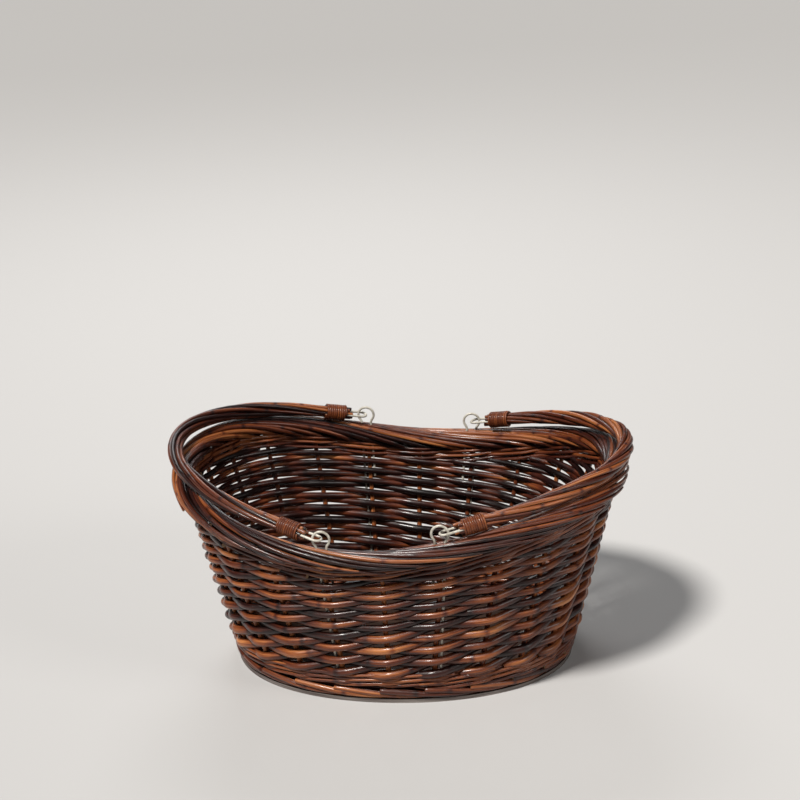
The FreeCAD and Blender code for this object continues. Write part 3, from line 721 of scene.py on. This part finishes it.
# ------------------------------------------------------------------ handles
def bow_line(samples=420, start=14.0):
    """Middle line of the bow in its own plane, from one end to the other, with its inward normal, the distance along it
    and its length.
    """
    lean, knee, h = rad(LEAN), rad(TURN), math.pi / 2
    u0, v0 = HALF - STRAIGHT * math.sin(lean), REACH - STRAIGHT * math.cos(lean)
    a, b = math.cos(lean) - math.cos(knee), math.cos(knee)
    c, e = math.sin(knee) - math.sin(lean), 1 - math.sin(knee)
    det = a * e - b * c
    wide, tight = (u0 * e - b * v0) / det, (a * v0 - c * u0) / det
    s1 = STRAIGHT
    s2 = s1 + wide * (knee - lean)
    s3 = s2 + tight * (h - knee)
    s = np.linspace(start, s3, samples // 2)
    t = np.where(s < s1, lean, np.where(s < s2, lean + (s - s1) / wide, knee + (s - s2) / tight))
    u = np.zeros_like(s)
    v = np.zeros_like(s)
    for i, (si, ti) in enumerate(zip(s, t)):
        if si < s1:
            u[i], v[i] = HALF - si * math.sin(lean), si * math.cos(lean)
        elif si < s2:
            u[i] = HALF - s1 * math.sin(lean) - wide * (math.cos(lean) - math.cos(ti))
            v[i] = s1 * math.cos(lean) + wide * (math.sin(ti) - math.sin(lean))
        else:
            u1 = HALF - s1 * math.sin(lean) - wide * (math.cos(lean) - math.cos(knee))
            v1 = s1 * math.cos(lean) + wide * (math.sin(knee) - math.sin(lean))
            u[i] = u1 - tight * (math.cos(knee) - math.cos(ti))
            v[i] = v1 + tight * (math.sin(ti) - math.sin(knee))
    # first half runs from +u to the middle; mirror it for the other
    uu = np.concatenate([u, -u[::-1][1:]])
    vv = np.concatenate([v, v[::-1][1:]])
    tt = np.concatenate([t, math.pi - t[::-1][1:]])
    ss = np.concatenate([s, 2 * s3 - s[::-1][1:]])
    inward = np.stack([-np.cos(tt), -np.sin(tt)], -1)
    return uu, vv, inward, ss, 2 * s3


def to_row(u, v, n, turned):
    p = MID + np.outer(u, AXIS) + np.outer(v, REACH_DIR) + np.outer(n, NORMAL)
    return half_turn(p) if turned else p


BIND_START, BIND_LEN, TURNS = 21.0, 24.0, 10


def end_dir(side):
    """Point on the hinge line and direction of the straight run at one end, in the bow's plane."""
    lean = rad(LEAN)
    return np.array([side * HALF, 0.0]), np.array([-side * math.sin(lean), math.cos(lean)])


def make_handle(tag, turned, seed):
    body = "handle_" + tag
    rng = np.random.default_rng(seed)
    u, v, inw, s, total = bow_line()
    count = 8
    twist = (1.9 if turned else 1.3) * 2 * math.pi
    rods_replaced = {"core": "handle_%s_core_rod" % tag}
    # bundle radius: bound tight at the ends, fuller in between
    near = np.minimum(s, total - s)
    tight = np.clip((near - 42.0) / 85.0, 0, 1)
    tight = tight * tight * (3 - 2 * tight)
    pitch = 4.45 + 1.15 * tight
    for i in range(count + 1):
        rods = Rods()
        if i == 0:
            cut_a, cut_b = rng.uniform(15.5, 19.5, 2)
            ring = 0.0
            rr = pitch * 0.60
            ang = 0 * s
        else:
            cut_a, cut_b = rng.uniform(13.5, 19.0, 2)
            ring = pitch + (0.35 * smooth_noise(rng, s, 60.0) + rng.uniform(-0.1, 0.35)) * tight
            rr = pitch * 0.383 * np.linspace(1.06, 0.92, len(s))[:: 1 if rng.uniform() < 0.5 else -1] * rng.uniform(0.96, 1.04)
            ang = 2 * math.pi * (i - 1) / count + twist * (s / total) + 0.13 * smooth_noise(rng, s, 80.0) * tight
        keep = (s > cut_a) & (s < total - cut_b)
        a, b = ring * np.cos(ang), ring * np.sin(ang)
        uu = u + a * inw[:, 0]
        vv = v + a * inw[:, 1]
        path = to_row(uu[keep], vv[keep], (b * np.ones_like(s))[keep], turned)
        r = (rr * np.ones_like(s))[keep]
        rods.add(path, r, rng, sides=12 if i else 14, tone=mean_tone(rng, -0.10, 0.95) if i else 0.1,
                 caps=(True, True), wobble=0.03)
        name = "handle_%s_core_rod" % tag if i == 0 else "handle_%s_rod_%d" % (tag, i)
        rods.build("willow_" + name, [WILLOW, CUT], body, [name])
    for side, where in ((-1, "front"), (1, "back")):
        if turned:
            where = "back" if where == "front" else "front"
        p0, d = end_dir(side)
        lat = np.array([-d[1], d[0]])
        # coiled binding
        rods = Rods()
        t = np.linspace(0, TURNS, TURNS * 26)
        along = BIND_START + 1.3 + (BIND_LEN - 2.6) * t / TURNS
        rad_c = 7.35 + 0.12 * smooth_noise(rng, t, 1.5)
        ease = np.clip(np.minimum(t, TURNS - t) / 0.25, 0, 1)
        rad_c = rad_c - 0.9 * (1 - ease)
        th = 2 * math.pi * t * (1 if side > 0 else -1)
        uu = p0[0] + d[0] * along + lat[0] * rad_c * np.cos(th)
        vv = p0[1] + d[1] * along + lat[1] * rad_c * np.cos(th)
        path = to_row(uu, vv, rad_c * np.sin(th), turned)
        rods.add(path, 1.08, rng, sides=10, tone=rng.uniform(0.4, 0.6), caps=(True, True), knots=False,
                 wobble=0.0)
        rods.build("willow_handle_%s_binding_%s" % (tag, where), [BINDING, CUT], body,
                   ["handle_%s_binding_%s" % (tag, where)])
        # wire end loop: a hairpin whose bend lies on the hinge line
        rods = Rods()
        wide, deep = 5.5, 40.0
        arc = np.linspace(-math.pi / 2, math.pi / 2, 22)
        la = np.concatenate([np.full(18, -wide), wide * np.sin(arc), np.full(18, wide)])
        al = np.concatenate([np.linspace(deep, wide + 0.5, 18), wide * (1 - np.cos(arc)), np.linspace(wide + 0.5, deep, 18)])
        # slightly pinched before it runs in among the rods
        pinch = np.clip((al - 9.0) / 14.0, 0, 1) * 1.0
        la = la * (1 - pinch / wide * 1.0)
        uu = p0[0] + d[0] * al + lat[0] * la
        vv = p0[1] + d[1] * al + lat[1] * la
        path = to_row(uu, vv, 0 * al, turned)
        rods.add(path, 1.22, rng, sides=12, tone=0.5, caps=(True, True), knots=False, wobble=0.0, bevel=0.2)
        rods.build("wire_handle_%s_end_loop_%s" % (tag, where), [WIRE, WIRE], body,
                   ["handle_%s_end_loop_%s" % (tag, where)])


make_handle("left", False, 61)
make_handle("right", True, 62)


# ------------------------------------------------------------------ floor, light, camera
def make_floor():
    me = bpy.data.meshes.new("floor")
    s = 6.0
    me.from_pydata([(-s, -s, 0), (s, -s, 0), (s, s, 0), (-s, s, 0)], [], [(0, 1, 2, 3)])
    ob = bpy.data.objects.new("floor", me)
    SCENE.collection.objects.link(ob)
    mat, nt, bsdf = new_material("floor_paint")
    bsdf.inputs["Base Color"].default_value = (0.44, 0.437, 0.434, 1)
    bsdf.inputs["Roughness"].default_value = 0.65
    me.materials.append(mat)


def area_light(name, loc, target, size, power, colour=(1, 1, 1)):
    li = bpy.data.lights.new(name, "AREA")
    li.shape = "RECTANGLE"
    li.size, li.size_y = size
    li.energy = power
    li.color = colour
    ob = bpy.data.objects.new(name, li)
    SCENE.collection.objects.link(ob)
    ob.location = loc
    d = Vector(target) - Vector(loc)
    ob.rotation_euler = d.to_track_quat("-Z", "Y").to_euler()


make_floor()
sun = bpy.data.lights.new("sun", "SUN")
sun.energy = 4.9
sun.angle = math.radians(10)
sun.color = (1.0, 0.965, 0.92)
sun_ob = bpy.data.objects.new("sun", sun)
SCENE.collection.objects.link(sun_ob)
sun_ob.rotation_euler = Vector((0.42, 0.62, -1.15)).to_track_quat("-Z", "Y").to_euler()
area_light("side", (1.5, -0.9, 1.3), (0, 0, 0.1), (0.7, 0.7), 12, (1.0, 0.97, 0.94))
area_light("back", (-0.3, 1.5, 1.5), (0, 0, 0.15), (0.9, 0.9), 14, (1.0, 1.0, 1.0))
world = bpy.data.worlds.new("studio")
world.use_nodes = True
world.node_tree.nodes["Background"].inputs["Color"].default_value = (0.80, 0.82, 0.86, 1)
world.node_tree.nodes["Background"].inputs["Strength"].default_value = 0.06
SCENE.world = world
SCENE.view_settings.view_transform = "Standard"


def make_camera():
    az, el, dist, focal, yaw, pit, roll = (rad(4.05), rad(24.40), 2307.35, 2304.09, rad(0.04), rad(3.82), rad(-1.72))
    back = np.array([math.sin(az) * math.cos(el), -math.cos(az) * math.cos(el), math.sin(el)])
    eye = np.array([0, 0, 100.0]) + back * dist
    fwd = -back
    right = unit(np.cross(fwd, [0, 0, 1.0]))
    up = np.cross(right, fwd)
    f2, r2 = fwd * math.cos(yaw) + right * math.sin(yaw), right * math.cos(yaw) - fwd * math.sin(yaw)
    f3, u3 = f2 * math.cos(pit) + up * math.sin(pit), up * math.cos(pit) - f2 * math.sin(pit)
    r4, u4 = r2 * math.cos(roll) + u3 * math.sin(roll), u3 * math.cos(roll) - r2 * math.sin(roll)
    cam = bpy.data.cameras.new("camera")
    cam.sensor_width = 36.0
    cam.lens = 36.0 * focal / 800.0
    ob = bpy.data.objects.new("camera", cam)
    SCENE.collection.objects.link(ob)
    m = Matrix(((r4[0], u4[0], -f3[0], eye[0] * MM), (r4[1], u4[1], -f3[1], eye[1] * MM),
                (r4[2], u4[2], -f3[2], eye[2] * MM), (0, 0, 0, 1)))
    ob.matrix_world = m
    SCENE.camera = ob


make_camera()
